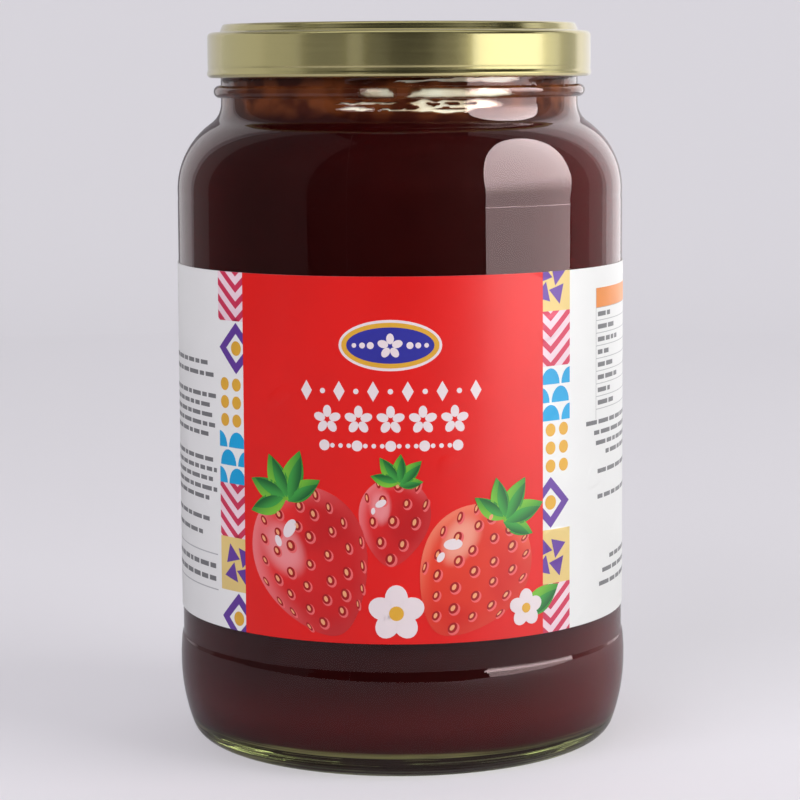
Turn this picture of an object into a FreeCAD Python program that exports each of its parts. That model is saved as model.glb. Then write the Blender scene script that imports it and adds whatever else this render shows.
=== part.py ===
"""A large catering jam jar, shut: glass jar, twist-off lid, the jam inside and the paper label.

Millimetres, +Z up. The origin is the centre of the ring that the jar stands on.
Every piece is round about the Z axis, and the front of the label faces -Y.
Each piece is a revolved sketch. A sketch point is a pair of expressions on the sheet of sizes,
so the pieces follow each other when a size on the sheet is changed.
"""

import FreeCAD, Part
import math
import os

import Sketcher

SIZES = [
    # jar, outside
    ("body_radius", 60.55, "glass behind the label"),
    ("panel_foot", 27.9, "height of the lower end of the label panel"),
    ("panel_head", 142.6, "height of the upper end of the label panel"),
    ("shoulder_swell", 0.45, "how far the shoulder stands out past the label panel"),
    ("shoulder_rise", 6.9, "from the panel's upper end to the widest part of the shoulder"),
    ("shoulder_arc", 22.0, "radius of the round shoulder"),
    ("neck_radius", 48.45, "neck, outside"),
    ("neck_arc", 6.5, "radius of the hollow curve between shoulder and neck"),
    ("heel_swell", 0.75, "how far the heel stands out past the label panel"),
    ("heel_level", 21.0, "height at which the heel starts to curve in"),
    ("heel_arc", 50.0, "radius of the long curve below that height"),
    ("crease_arc", 5.0, "radius of the quick bulge from the panel to the heel"),
    ("base_corner", 6.0, "radius of the bottom corner"),
    ("bearing_width", 2.2, "width of the flat ring that the jar stands on"),
    ("base_rim", 3.0, "sloping edge from that ring to the domed underside"),
    ("base_rim_rise", 1.6, "height of that sloping edge"),
    ("base_rise", 3.0, "rise of the domed underside from that edge to its centre"),
    # jar, neck finish
    ("finish_height", 18.5, "from the foot of the neck to the sealing rim"),
    ("bead_rise", 3.2, "from the foot of the neck to the middle of the transfer bead"),
    ("bead_height", 3.3, "transfer bead, where it meets the neck"),
    ("bead_depth", 1.95, "how far the transfer bead stands out from the neck"),
    ("rim_corner", 1.2, "rounding of the sealing rim"),
    ("thread_count", 6, "separate thread ridges round the neck"),
    ("thread_span", 54.0, "angle round the neck that one ridge covers, degrees"),
    ("thread_slope", 2.7, "how steeply a ridge climbs to the right, degrees"),
    ("thread_start", 43.0, "angle from the front to the low end of a ridge, degrees"),
    ("thread_rise", 7.95, "from the foot of the neck to the middle of a ridge"),
    ("thread_radius", 1.3, "radius of a ridge's round section"),
    ("thread_sink", 0.1, "how far the middle of that section lies inside the neck's surface"),
    # jar, inside
    ("wall", 3.0, "glass, all round"),
    ("base_glass", 5.0, "glass under the lowest part of the floor"),
    ("inside_corner", 10.0, "radius of the inside bottom corner"),
    ("floor_rise", 3.6, "rise of the floor from its lowest part to its centre"),
    # contents
    ("jam_rise", 10.9, "from the foot of the neck to the top of the jam, up under the lid"),
    ("jam_gap", 0.15, "clearance between the jam and the glass"),
    # lid
    ("lid_stand", 3.5, "from the neck's surface out to the outside of the lid's skirt"),
    ("lid_sheet", 0.5, "thickness of the lid"),
    ("lid_drop", 11.6, "from the jar's sealing rim down to the lid's lower edge"),
    ("curl_depth", 1.8, "how far the rolled lower edge reaches in"),
    ("curl_height", 2.0, "height of the rolled lower edge"),
    ("lid_corner", 1.3, "rounding between the skirt and the ledge"),
    ("ledge_rise", 0.6, "from the sealing rim up to the ledge round the lid's top"),
    ("plate_stand", 0.15, "from the neck's surface out to the foot of the raised plate"),
    ("plate_taper", 0.7, "how much narrower the plate is at its top"),
    ("plate_rise", 2.2, "height of the plate above the ledge"),
    ("dish_margin", 5.25, "from the sealing compound in to the sunk middle of the plate"),
    ("dish_slope", 1.5, "width of the slope down to the sunk middle"),
    ("dish_depth", 0.9, "depth of the sunk middle"),
    ("button_radius", 13.0, "foot of the round safety button"),
    ("button_slope", 2.5, "width of the slope up to the button's top"),
    ("button_rise", 0.6, "height of the button above the sunk middle"),
    ("seal_width", 4.2, "sealing compound under the lid, measured along the rim"),
    # label
    ("label_gap", 0.05, "glue between the glass and the label"),
    ("label_sheet", 0.2, "thickness of the label"),
    ("label_foot_margin", 8.5, "from the panel's lower end to the label"),
    ("label_head_margin", 12.2, "from the label to the panel's upper end"),
    ("label_opening", 15.0, "bare glass between the label's two ends, along the surface"),
]

document = FreeCAD.newDocument("jam_jar")
dims = document.addObject("Spreadsheet::Sheet", "dims")
for row, (alias, value, meaning) in enumerate(SIZES, start=1):
    dims.set(f"A{row}", alias)
    dims.set(f"B{row}", str(value))
    dims.set(f"C{row}", meaning)
    dims.setAlias(f"B{row}", alias)
document.recompute()


def size(expression):
    """The value of an expression on the sheet of sizes."""
    return float(dims.evalExpression(expression))


def add(*terms):
    """One expression that adds up several."""
    return " + ".join(f"({term})" for term in terms)


def less(first, *others):
    """One expression: the first less all the others."""
    return f"({first}) - ({add(*others)})"


# Shoulder and neck: two arcs that meet smoothly. Their centres lie a fixed way apart in radius,
# so the direction of the line between the centres gives the place where they meet.
HEAD = "dims.panel_head"
SHOULDER_RADIUS = "dims.body_radius + dims.shoulder_swell"
SHOULDER_LEVEL = "dims.panel_head + dims.shoulder_rise"
SHOULDER_CENTRE = less(SHOULDER_RADIUS, "dims.shoulder_arc")
ARCS = "(dims.shoulder_arc + dims.neck_arc)"
ACROSS = f"(1 - ({less(SHOULDER_RADIUS, 'dims.neck_radius')}) / {ARCS})"
UP = f"sqrt(1 - {ACROSS} ^ 2)"
NECK_FOOT = add(SHOULDER_LEVEL, f"{ARCS} * {UP}")
RIM = add(NECK_FOOT, "dims.finish_height")

# Heel and bottom corner: a long arc and a small one that touch inside it.
HEEL_RADIUS = "(dims.body_radius + dims.heel_swell)"
HEEL_CENTRE = less(HEEL_RADIUS, "dims.heel_arc")
HEEL_REACH = "(dims.heel_arc - dims.base_corner)"
HEEL_DROP = "(dims.heel_level - dims.base_corner)"
HEEL_ACROSS = f"sqrt({HEEL_REACH} ^ 2 - {HEEL_DROP} ^ 2)"
BEARING_OUTER = add(HEEL_CENTRE, HEEL_ACROSS)
BEARING_INNER = less(BEARING_OUTER, "dims.bearing_width")
DOME_EDGE = less(BEARING_INNER, "dims.base_rim")

SHOULDER_BULGE = "(dims.shoulder_rise ^ 2 / dims.shoulder_swell + dims.shoulder_swell) / 2"
CREASE_DROP = "sqrt(dims.crease_arc ^ 2 - (dims.crease_arc - dims.heel_swell) ^ 2)"


def dome(reach, rise):
    """Radius of an arc that is level on the axis and sinks by rise at that reach."""
    return f"(({reach}) ^ 2 / ({rise}) + ({rise})) / 2"


def point(radius, height):
    return {"r": radius, "z": height}


def arc(radius, height, bend, centre):
    """A point reached along an arc of radius bend, whose centre lies to the left or right."""
    return {"r": radius, "z": height, "bend": bend, "side": 1 if centre == "left" else -1}


def arc_between(start, end, bend, side):
    """The arc of that radius from start to end, with its centre to the left or right of the way."""
    chord = end - start
    middle = (start + end) * 0.5
    away = math.sqrt(max(bend**2 - (chord.Length / 2) ** 2, 0.0))
    left = FreeCAD.Vector(-chord.y, chord.x, 0).normalize()
    centre = middle + left * (away * side)
    circle = Part.Circle(centre, FreeCAD.Vector(0, 0, 1), bend)
    angles = [math.atan2((p - centre).y, (p - centre).x) for p in (start, end)]
    if side < 0:
        angles.reverse()
    return Part.ArcOfCircle(circle, *angles)


def hold_point(sketch, geometry, end, corner, name):
    """Ties one end of a sketch line or arc to its two expressions."""
    for word, axis, expression in (("DistanceX", -2, corner["r"]), ("DistanceY", -1, corner["z"])):
        value = size(expression)
        if value == 0:
            sketch.addConstraint(Sketcher.Constraint("PointOnObject", geometry, end, axis))
            continue
        index = sketch.addConstraint(Sketcher.Constraint(word, -1, 1, geometry, end, value))
        sketch.renameConstraint(index, f"{name}_{word[-1].lower()}")
        sketch.setExpression(f"Constraints.{name}_{word[-1].lower()}", expression)


def turned(name, corners, angle="360"):
    """A body: a closed outline in the XZ plane, turned about the Z axis."""
    body = document.addObject("PartDesign::Body", name)
    body.Label = name
    planes = {feature.Role: feature for feature in body.Origin.OriginFeatures}
    sketch = body.newObject("Sketcher::SketchObject", f"{name}_outline")
    sketch.AttachmentSupport = [(planes["XZ_Plane"], "")]
    sketch.MapMode = "FlatFace"
    places = [FreeCAD.Vector(size(corner["r"]), size(corner["z"]), 0) for corner in corners]
    ends = []
    for index, corner in enumerate(corners):
        start, end = places[index - 1], places[index]
        if "bend" in corner:
            sketch.addGeometry(arc_between(start, end, size(corner["bend"]), corner["side"]), False)
            ends.append((1, 2) if corner["side"] > 0 else (2, 1))
        else:
            sketch.addGeometry(Part.LineSegment(start, end), False)
            ends.append((1, 2))
    for index, corner in enumerate(corners):
        before = index - 1 if index else len(corners) - 1
        sketch.addConstraint(
            Sketcher.Constraint("Coincident", before, ends[before][1], index, ends[index][0])
        )
        hold_point(sketch, index, ends[index][1], corner, f"corner{index}")
        if "bend" in corner:
            bend = Sketcher.Constraint("Radius", index, size(corner["bend"]))
            sketch.renameConstraint(sketch.addConstraint(bend), f"bend{index}")
            sketch.setExpression(f"Constraints.bend{index}", corner["bend"])
    document.recompute()
    revolution = body.newObject("PartDesign::Revolution", f"{name}_turned")
    revolution.Profile = sketch
    revolution.ReferenceAxis = (planes["Z_Axis"], [""])
    revolution.Midplane = True
    revolution.setExpression("Angle", angle)
    document.recompute()
    return body


def outside_of_jar():
    """The jar as a solid lump, from the underside's dome round to the sealing rim."""
    bead_foot = add(NECK_FOOT, "dims.bead_rise - dims.bead_height / 2")
    bead_head = add(NECK_FOOT, "dims.bead_rise + dims.bead_height / 2")
    bead_bend = "(dims.bead_height ^ 2 / 4 / dims.bead_depth + dims.bead_depth) / 2"
    touch_share = f"dims.heel_arc / {HEEL_REACH}"
    corners = [
        point("0", "dims.base_rim_rise + dims.base_rise"),
        arc(DOME_EDGE, "dims.base_rim_rise", dome(DOME_EDGE, "dims.base_rise"), "right"),
        point(BEARING_INNER, "0"),
        point(BEARING_OUTER, "0"),
        arc(
            add(HEEL_CENTRE, f"{HEEL_ACROSS} * {touch_share}"),
            less("dims.heel_level", f"{HEEL_DROP} * {touch_share}"),
            "dims.base_corner",
            "left",
        ),
        arc(HEEL_RADIUS, "dims.heel_level", "dims.heel_arc", "left"),
        point(HEEL_RADIUS, less("dims.panel_foot", CREASE_DROP)),
        arc("dims.body_radius", "dims.panel_foot", "dims.crease_arc", "left"),
        point("dims.body_radius", HEAD),
        arc(SHOULDER_RADIUS, SHOULDER_LEVEL, SHOULDER_BULGE, "left"),
        arc(
            add(SHOULDER_CENTRE, f"dims.shoulder_arc * {ACROSS}"),
            add(SHOULDER_LEVEL, f"dims.shoulder_arc * {UP}"),
            "dims.shoulder_arc",
            "left",
        ),
        arc("dims.neck_radius", NECK_FOOT, "dims.neck_arc", "right"),
        point("dims.neck_radius", bead_foot),
        arc("dims.neck_radius + dims.bead_depth", add(NECK_FOOT, "dims.bead_rise"), bead_bend, "left"),
        arc("dims.neck_radius", bead_head, bead_bend, "left"),
        point("dims.neck_radius", less(RIM, "dims.rim_corner")),
        arc("dims.neck_radius - dims.rim_corner", RIM, "dims.rim_corner", "left"),
        point("0", RIM),
    ]
    return turned("jar_outside", corners)


def bore(inset, top):
    """The jar's inside from the middle of its floor up to top, that far inside the outer surface."""
    radius = less("dims.body_radius", inset)
    corner = less("dims.inside_corner", inset, "0 - dims.wall")
    floor = add("dims.base_glass", inset, "0 - dims.wall")
    floor_edge = less("dims.body_radius", "dims.wall", "dims.inside_corner")
    return [
        point("0", add(floor, "dims.floor_rise")),
        arc(floor_edge, floor, dome(floor_edge, "dims.floor_rise"), "right"),
        arc(radius, add("dims.base_glass", "dims.inside_corner"), corner, "left"),
        point(radius, HEAD),
        arc(less(SHOULDER_RADIUS, inset), SHOULDER_LEVEL, SHOULDER_BULGE, "left"),
        arc(
            add(SHOULDER_CENTRE, f"({less('dims.shoulder_arc', inset)}) * {ACROSS}"),
            add(SHOULDER_LEVEL, f"({less('dims.shoulder_arc', inset)}) * {UP}"),
            less("dims.shoulder_arc", inset),
            "left",
        ),
        arc(less("dims.neck_radius", inset), NECK_FOOT, add("dims.neck_arc", inset), "right"),
        point(less("dims.neck_radius", inset), top),
        point("0", top),
    ]


def inside_of_jar():
    """What is cut out of the lump, flared a little at the rim by the rounding of its inner edge."""
    corners = bore("dims.wall", less(RIM, "dims.rim_corner"))
    neck = corners[-2]["r"]
    corners[-1:] = [
        arc(add(neck, "dims.rim_corner"), RIM, "dims.rim_corner", "right"),
        point("0", RIM),
    ]
    return turned("jar_inside", corners)


def thread_ridge(number):
    """One slanting ridge of the neck's interrupted thread. It climbs to the right."""
    ridge = document.addObject("Part::Torus", f"thread_ridge_{number}")
    ridge.setExpression("Radius1", "dims.neck_radius - dims.thread_sink")
    ridge.setExpression("Radius2", "dims.thread_radius")
    ridge.setExpression("Angle3", "dims.thread_span")
    half_span = size("dims.thread_span") / 2
    front = -90
    middle = front + size("dims.thread_start") + half_span + number * 360 / size("dims.thread_count")
    z_axis, x_axis = FreeCAD.Vector(0, 0, 1), FreeCAD.Vector(1, 0, 0)
    turn = FreeCAD.Rotation(z_axis, middle)
    tilt = FreeCAD.Rotation(x_axis, size("dims.thread_slope"))
    centred = FreeCAD.Rotation(z_axis, -half_span)
    level = FreeCAD.Vector(0, 0, size(add(NECK_FOOT, "dims.thread_rise")))
    ridge.Placement = FreeCAD.Placement(level, turn * tilt * centred)
    return ridge


def glass_jar():
    """The glass: lump and thread ridges, less the inside."""
    lump = document.addObject("Part::MultiFuse", "jar_lump")
    ridges = [thread_ridge(number) for number in range(int(size("dims.thread_count")))]
    lump.Shapes = [outside_of_jar()] + ridges
    jar = document.addObject("Part::Cut", "glass_jar")
    jar.Base = lump
    jar.Tool = inside_of_jar()
    jar.Label = "glass_jar"
    return jar


def jam():
    """The jam fills the jar from its floor to well up in the neck, short of the lid."""
    return turned("jam", bore("(dims.wall + dims.jam_gap)", add(NECK_FOOT, "dims.jam_rise")))


def lid():
    """The pressed lid: skirt with a rolled lower edge, ledge, raised plate, sunk middle, button."""
    lower = less(RIM, "dims.lid_drop")
    ledge = add(RIM, "dims.ledge_rise")
    plate = add(ledge, "dims.plate_rise")
    dish = less(plate, "dims.dish_depth")
    button = add(dish, "dims.button_rise")
    skirt = "(dims.neck_radius + dims.lid_stand)"
    skirt_inside = less(skirt, "dims.lid_sheet")
    curl_inside = less(skirt, "dims.curl_depth")
    curl_round = "dims.curl_height / 2"
    plate_foot = "(dims.neck_radius + dims.plate_stand)"
    seal_inside = "(dims.neck_radius - dims.seal_width)"
    dish_edge = less(seal_inside, "dims.dish_margin")
    dish_foot = less(dish_edge, "dims.dish_slope")
    corners = [
        point("0", button),
        point("0", less(button, "dims.lid_sheet")),
        point("dims.button_radius - dims.button_slope", less(button, "dims.lid_sheet")),
        point("dims.button_radius", less(dish, "dims.lid_sheet")),
        point(dish_foot, less(dish, "dims.lid_sheet")),
        point(dish_edge, less(plate, "dims.lid_sheet")),
        point(seal_inside, less(plate, "dims.lid_sheet")),
        point(seal_inside, RIM),
        point("dims.neck_radius", RIM),
        point("dims.neck_radius", less(ledge, "dims.lid_sheet")),
        point(less(skirt, "dims.lid_corner"), less(ledge, "dims.lid_sheet")),
        arc(
            skirt_inside,
            less(ledge, "dims.lid_corner"),
            "dims.lid_corner - dims.lid_sheet",
            "right",
        ),
        point(skirt_inside, add(lower, "dims.curl_height")),
        point(add(curl_inside, curl_round), add(lower, "dims.curl_height")),
        arc(curl_inside, add(lower, curl_round), curl_round, "left"),
        arc(add(curl_inside, curl_round), lower, curl_round, "left"),
        point(skirt_inside, lower),
        arc(skirt, add(lower, "dims.lid_sheet"), "dims.lid_sheet", "left"),
        point(skirt, less(ledge, "dims.lid_corner")),
        arc(less(skirt, "dims.lid_corner"), ledge, "dims.lid_corner", "left"),
        point(plate_foot, ledge),
        point(less(plate_foot, "dims.plate_taper"), plate),
        point(dish_edge, plate),
        point(dish_foot, dish),
        point("dims.button_radius", dish),
        point("dims.button_radius - dims.button_slope", button),
    ]
    return turned("lid", corners)


def label():
    """The paper label, wrapped round the panel with its opening at the back."""
    inner = "dims.body_radius + dims.label_gap"
    outer = add(inner, "dims.label_sheet")
    foot = "dims.panel_foot + dims.label_foot_margin"
    head = "dims.panel_head - dims.label_head_margin"
    corners = [point(inner, foot), point(outer, foot), point(outer, head), point(inner, head)]
    wrap = f"360 - dims.label_opening / ({inner}) * 180 / pi"
    body = turned("label", corners, wrap)
    body.Placement = FreeCAD.Placement(
        FreeCAD.Vector(0, 0, 0), FreeCAD.Rotation(FreeCAD.Vector(0, 0, 1), -90)
    )
    return body


pieces = [glass_jar(), jam(), lid(), label()]
document.recompute()

for thing in document.Objects:
    if {"Invalid", "Error"} & set(thing.State):
        raise RuntimeError(f"{thing.Name} failed: {thing.State}")
for piece in pieces:
    if piece.Shape.isNull() or not piece.Shape.isValid() or len(piece.Shape.Solids) != 1:
        raise RuntimeError(f"{piece.Label} is not one valid solid")

os.makedirs("parts", exist_ok=True)
for piece in pieces:
    piece.Shape.exportStep(f"parts/{piece.Label}.step")
    box = piece.Shape.optimalBoundingBox(False, False)
    print(
        f"{piece.Label}: {piece.Shape.Volume / 1000:.1f} cm3,"
        f" width {box.XLength:.2f}, from z {box.ZMin:.2f} to {box.ZMax:.2f}"
    )
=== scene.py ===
# %% [markdown]
# # A large jar of strawberry jam
# The jar stands shut: thick round glass, a gold twist-off lid, dark jam up to the lid, and one
# paper label round the middle. The frame fixes every size. This script gives each of its pieces
# a finer mesh at the same place, prints the label, and sets up a small pale studio.

# %% The frame
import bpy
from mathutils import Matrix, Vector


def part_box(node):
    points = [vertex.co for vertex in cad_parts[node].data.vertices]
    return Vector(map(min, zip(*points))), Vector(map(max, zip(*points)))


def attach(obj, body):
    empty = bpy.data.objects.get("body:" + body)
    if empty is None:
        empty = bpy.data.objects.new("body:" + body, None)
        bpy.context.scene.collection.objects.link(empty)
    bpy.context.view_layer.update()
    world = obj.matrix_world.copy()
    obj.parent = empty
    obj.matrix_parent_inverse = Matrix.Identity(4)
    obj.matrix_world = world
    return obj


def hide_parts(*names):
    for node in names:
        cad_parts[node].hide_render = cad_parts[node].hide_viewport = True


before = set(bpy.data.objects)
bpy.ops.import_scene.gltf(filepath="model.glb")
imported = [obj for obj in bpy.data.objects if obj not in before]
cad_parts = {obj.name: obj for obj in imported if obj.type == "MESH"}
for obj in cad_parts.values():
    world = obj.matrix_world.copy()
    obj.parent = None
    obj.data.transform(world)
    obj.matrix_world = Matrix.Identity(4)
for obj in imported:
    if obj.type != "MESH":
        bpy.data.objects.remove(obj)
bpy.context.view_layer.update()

# %% [markdown]
# ## Camera
# The picture is taken from just under lid height with a long lens, tipped a little down, so the
# lid shows as a thin band and the label's edges bow downwards. The jar leans by a third of
# a degree in the frame, which the camera's roll repeats.

# %% Camera
import math
import random

import bmesh
import bpy
from mathutils import Matrix, Vector, noise

MM = 0.001
CAMERA_PLACE = Vector((-0.0002, -0.720, 0.1835))
CAMERA_TIP = -6.07
CAMERA_ROLL = -0.34
camera_data = bpy.data.cameras.new("camera")
camera_data.lens = 118.5
camera_data.shift_y = -0.07
camera = bpy.data.objects.new("camera", camera_data)
bpy.context.scene.collection.objects.link(camera)
aim = Matrix.Rotation(math.radians(90 + CAMERA_TIP), 4, "X")
camera.matrix_world = (
    Matrix.Translation(CAMERA_PLACE) @ aim @ Matrix.Rotation(math.radians(CAMERA_ROLL), 4, "Z")
)
bpy.context.scene.camera = camera
print("camera at", tuple(round(value, 3) for value in camera.location))

# %% [markdown]
# ## Drawing a round piece
# Glass, jam and lid are all turned shapes. On a potter's wheel the profile makes the pot, and
# here too: a pen draws half a section from axis to axis, in straight runs and arcs, and `spin`
# turns it once round Z. A primitive cylinder would need every curve added afterwards.


# %% The pen
class Outline:
    """A pen that draws half a section: radius and height in millimetres, starting on the axis."""

    def __init__(self, radius, height):
        self.bm = bmesh.new()
        self.tip = self.bm.verts.new((radius, 0, height))

    def go(self, radius, height):
        """One straight edge to the next point."""
        vert = self.bm.verts.new((radius, 0, height))
        self.bm.edges.new((self.tip, vert))
        self.tip = vert

    def line(self, radius, height, cuts=1):
        """A straight run, divided into that many edges."""
        start = self.tip.co.copy()
        for step in range(1, cuts + 1):
            place = start.lerp(Vector((radius, 0, height)), step / cuts)
            self.go(place.x, place.z)

    def arc(self, radius, height, bend, centre, cuts):
        """An arc of radius bend, with its centre to the left or right of the way."""
        start = Vector((self.tip.co.x, self.tip.co.z))
        end = Vector((radius, height))
        chord = end - start
        side = 1 if centre == "left" else -1
        reach = math.sqrt(max(bend**2 - (chord.length / 2) ** 2, 0))
        middle = (start + end) / 2 + Vector((-chord.y, chord.x)).normalized() * reach * side
        first, last = start - middle, end - middle
        sweep = math.atan2(first.x * last.y - first.y * last.x, first.dot(last))
        angle = math.atan2(first.y, first.x)
        for step in range(1, cuts + 1):
            turn = angle + sweep * step / cuts
            self.go(middle.x + bend * math.cos(turn), middle.y + bend * math.sin(turn))


# %% Turning the outline
def turned(outline, steps):
    """The outline spun once round the Z axis, closed at its poles."""
    bm = outline.bm
    geometry = bm.verts[:] + bm.edges[:]
    bmesh.ops.spin(
        bm, geom=geometry, cent=(0, 0, 0), axis=(0, 0, 1), dvec=(0, 0, 0),
        angle=math.tau, steps=steps, use_merge=True, use_duplicate=False,
    )
    bmesh.ops.remove_doubles(bm, verts=bm.verts, dist=0.0005)
    return bm


# %% From a bmesh to a piece
SHARP = math.radians(35)


def smooth_object(name, bm, material):
    """A smooth-shaded object at the origin, in metres."""
    bmesh.ops.scale(bm, vec=(MM, MM, MM), verts=bm.verts)
    for face in bm.faces:
        face.smooth = True
    mesh = bpy.data.meshes.new(name)
    bm.to_mesh(mesh)
    bm.free()
    mesh.materials.append(material)
    made = bpy.data.objects.new(name, mesh)
    bpy.context.scene.collection.objects.link(made)
    return made


def piece(name, bm, finish, replaced=None):
    """A piece of the jar, which rides on its one body."""
    bmesh.ops.recalc_face_normals(bm, faces=bm.faces)
    for edge in bm.edges:
        edge.smooth = edge.calc_face_angle(math.pi) < SHARP
    made = smooth_object(name, bm, finish.material)
    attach(made, "root")
    if replaced:
        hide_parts(replaced)
    triangles = sum(len(polygon.vertices) - 2 for polygon in made.data.polygons)
    print(f"{name}: {triangles} triangles")
    return made


def swelling(value, low, high):
    """0 below low, 1 above high, and a smooth rise between them."""
    share = min(max((value - low) / (high - low), 0), 1)
    return share * share * (3 - 2 * share)


# %% [markdown]
# ## Writing a material as arithmetic
# A finish is mostly sums: this colour where the noise is high, that one near the rim. One small
# class wraps a node's output, so that `1 - mask * 0.4` adds the Math nodes by itself. Colours
# are blended by Mix nodes, because a Math node would turn them grey.


# %% Sums on sockets
class Sum:
    """A number that changes over the surface: the output of a node, with Python's operators."""

    def __init__(self, finish, socket):
        self.finish = finish
        self.socket = socket

    def math(self, operation, *values):
        inputs = dict(enumerate(values))
        return self.finish.node("ShaderNodeMath", {"operation": operation}, inputs)

    def __add__(self, other):
        return self.math("ADD", self, other)

    def __sub__(self, other):
        return self.math("SUBTRACT", self, other)

    def __rsub__(self, other):
        return self.math("SUBTRACT", other, self)

    def __mul__(self, other):
        return self.math("MULTIPLY", self, other)

    def __truediv__(self, other):
        return self.math("DIVIDE", self, other)

    __radd__ = __add__
    __rmul__ = __mul__

    def size(self):
        return self.math("ABSOLUTE", self)

    def most(self, other):
        return self.math("MAXIMUM", self, other)

    def ramp(self, low, high):
        """0 at low and 1 at high, smooth between them. Low may be the larger."""
        settings = {"interpolation_type": "SMOOTHSTEP"}
        inputs = {"Value": self, "From Min": low, "From Max": high}
        return self.finish.node("ShaderNodeMapRange", settings, inputs)


# %% A material and its nodes
class Finish:
    """A material with one Principled shader, whose uniform values are set at once."""

    def __init__(self, name, **uniform):
        self.material = bpy.data.materials.new(name)
        self.material.use_nodes = True
        self.nodes = self.material.node_tree.nodes
        self.links = self.material.node_tree.links
        self.shader = self.nodes["Principled BSDF"]
        for socket, value in uniform.items():
            self.feed(self.shader, socket.replace("_", " "), value)

    def feed(self, node, socket, value):
        """Sets or links one socket of a node."""
        if isinstance(value, Sum):
            self.links.new(value.socket, node.inputs[socket])
        elif isinstance(value, tuple) and len(value) == 3 and node.inputs[socket].type == "RGBA":
            node.inputs[socket].default_value = (*value, 1)
        else:
            node.inputs[socket].default_value = value

    def node(self, kind, settings=None, inputs=None, output=0):
        """Any node: its settings first, then the values or links of its sockets."""
        node = self.nodes.new(kind)
        for name, value in (settings or {}).items():
            setattr(node, name, value)
        for socket, value in (inputs or {}).items():
            self.feed(node, socket, value)
        return Sum(self, node.outputs[output])

    def place(self):
        """Object coordinates, in metres."""
        return self.node("ShaderNodeTexCoord", output="Object")

    def along(self, axis):
        """One of the object coordinates, X, Y or Z."""
        return self.node("ShaderNodeSeparateXYZ", {}, {0: self.place()}, axis)

    def stretched(self, x, y, z):
        """Object coordinates, scaled apart along each axis."""
        inputs = {"Vector": self.place(), "Scale": (x, y, z)}
        return self.node("ShaderNodeMapping", {}, inputs)

    def noise(self, scale, detail=3.0, vector=None):
        inputs = {"Vector": vector or self.place(), "Scale": scale, "Detail": detail}
        return self.node("ShaderNodeTexNoise", {}, inputs)

    def attribute(self, name):
        return self.node("ShaderNodeAttribute", {"attribute_name": name}, {}, "Fac")

    def blend(self, factor, first, second):
        """A colour between two colours."""
        settings = {"data_type": "RGBA"}
        return self.node("ShaderNodeMix", settings, {0: factor, 6: first, 7: second}, 2)

    def colour(self, value):
        self.feed(self.shader, "Base Color", value)

    def rough(self, value):
        self.feed(self.shader, "Roughness", value)

    def bump(self, height, depth):
        """Relief of that depth in metres where height goes from 0 to 1."""
        inputs = {"Height": height, "Distance": depth}
        normal = self.node("ShaderNodeBump", {}, inputs)
        self.feed(self.shader, "Normal", normal)

    def send(self, shader, socket="Surface"):
        """Links a shader to the material's output."""
        self.feed(self.nodes["Material Output"], socket, shader)


# %% [markdown]
# ## Glass
# Jar glass is pressed and blown in a mould of two halves. It is smooth, slightly green where it
# is thick, a little wavy, and has a fine seam on opposite sides where the halves met. The shader
# bends light as real glass does, and a volume takes more blue than red or green on the way,
# so that only the thick foot turns olive, with fine level streaks. The bright olive glow seen
# through the foot is painted light on the jam behind it. For the rays that look for lamps it is
# clear, because light bent through glass would otherwise take very many samples to reach the jam.

# %% Glass finish
SEAM_ANGLE = math.radians(-12.7)
SEAM_HALF_WIDTH = 0.0003
glass = Finish(
    "clear_jar_glass", Base_Color=(0.985, 0.995, 0.985), Roughness=0.0, IOR=1.52,
    Transmission_Weight=1.0, Specular_Tint=(1.0, 0.76, 0.77),
)
green_depth = glass.node(
    "ShaderNodeVolumeAbsorption", {}, {"Color": (0.72, 0.80, 0.05), "Density": 14.0}
)
glass.send(green_depth, "Volume")
across_seam = glass.node(
    "ShaderNodeVectorMath", {"operation": "DOT_PRODUCT"},
    {0: glass.place(), 1: (math.cos(SEAM_ANGLE), math.sin(SEAM_ANGLE), 0)}, "Value",
)
seam = across_seam.size().ramp(SEAM_HALF_WIDTH, 0)
waves = glass.noise(14, 1.0) * 12 + glass.noise(45, 1.0) * 1.5
in_foot = glass.along("Z").ramp(0.009, 0.004)
foot_streaks = glass.noise(1, 2.0, glass.stretched(12, 12, 700)) * in_foot
glass.bump(waves + seam + foot_streaks * 7, 0.00006)
shadow_glass = glass.node("ShaderNodeBsdfTransparent", {}, {"Color": (0.9, 0.94, 0.9)})
is_shadow = glass.node("ShaderNodeLightPath", output="Is Shadow Ray")
jar_surface = glass.node(
    "ShaderNodeMixShader", {},
    {0: is_shadow, 1: Sum(glass, glass.shader.outputs[0]), 2: shadow_glass},
)
glass.send(jar_surface)

# %% [markdown]
# ## The glass jar
# One outline goes all the way round the glass: domed underside, standing ring, heel, sunk label
# panel, shoulder, neck with its transfer bead, rim, and back down the inside, 3 mm in, to
# the floor. The rim and the heel come from the jar's box, the rest from a jar maker's sizes.

# %% Sizes of the jar
_, jar_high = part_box("glass_jar")
rim = jar_high.z / MM
heel_radius = jar_high.x / MM
panel_radius = heel_radius - 0.75
shoulder_arc = 22.0
neck_arc = 6.5
neck_radius = 48.45
neck_foot = rim - 18.5
wall = 3.0
floor_level = 5.0
floor_rise = 3.6
inside_corner = 10.0
meeting = math.acos(1 - (panel_radius - neck_radius) / (shoulder_arc + neck_arc))
shoulder_level = neck_foot - (shoulder_arc + neck_arc) * math.sin(meeting)


def swell_bend(run, swell):
    """Radius of an arc that runs on straight and swells by that much over the run."""
    return (run**2 / swell + swell) / 2


print(f"rim at {rim:.2f} mm, shoulder meets neck curve at {math.degrees(meeting):.1f} degrees")


# %% [markdown]
# The label panel is sunk by less than a millimetre. Where it meets heel and shoulder, the mould
# leaves a soft S at the heel and a hair-fine step below the shoulder. Both show only as thin
# lines in the reflections.

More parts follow.
